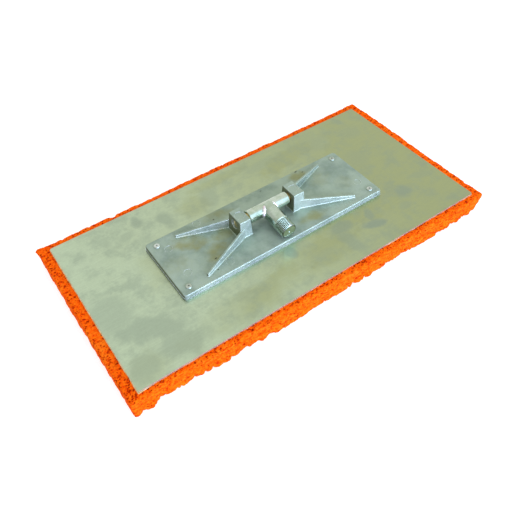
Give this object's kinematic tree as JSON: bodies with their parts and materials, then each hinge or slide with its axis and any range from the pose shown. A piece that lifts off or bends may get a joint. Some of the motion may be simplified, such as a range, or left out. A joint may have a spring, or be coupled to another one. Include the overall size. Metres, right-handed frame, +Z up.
{
  "type": "grout float",
  "caption": "Oblong sponge grout float: thick open-cell sponge pad glued to a thin metal backing sheet, with a riveted ribbed cast bracket and a swivelling threaded stem for a long handle.",
  "frame": {"origin": "centre of the pad's working face, which is the bottom", "axes": "+X along the float's long side, +Y across it away from the lying stem, +Z up out of the backing sheet"},
  "size_m": [0.516, 0.258, 0.0632],
  "materials": {
    "orange_sponge": "open-cell sponge with torn edges and dark pores",
    "cream_glue": "dried contact glue, slightly translucent",
    "sheet_alloy": "satin mill finish, dull and blotched with stains",
    "cast_alloy": "as-cast skin, fine grain, oily stains",
    "rivet_alloy": "bright rolled",
    "mandrel_steel": "dull drawn, broken end",
    "yellow_zinc_steel": "yellow zinc plating",
    "zinc_plated_steel": "bright zinc plating",
    "weld_metal": "plated weld bead"
  },
  "bodies": {
    "float": {"sponge_pad": "orange_sponge", "glue_layer": "cream_glue", "backing_sheet": "sheet_alloy", "bracket": "cast_alloy", "rivet_body_front_left": "rivet_alloy", "rivet_body_front_right": "rivet_alloy", "rivet_body_back_left": "rivet_alloy", "rivet_body_back_right": "rivet_alloy", "rivet_mandrel_front_left": "mandrel_steel", "rivet_mandrel_front_right": "mandrel_steel", "rivet_mandrel_back_left": "mandrel_steel", "rivet_mandrel_back_right": "mandrel_steel", "pivot_pin": "yellow_zinc_steel"},
    "stem": {"swivel_tube": "zinc_plated_steel", "threaded_stem": "zinc_plated_steel", "weld_left": "weld_metal", "weld_right": "weld_metal"}
  },
  "joints": [
    {"name": "stem_swivel", "type": "hinge", "parent": "float", "child": "stem", "pos_m": [0, 0, 0.0525], "axis": [-1, 0, 0], "range_deg": [0, 168.8]}
  ]
}
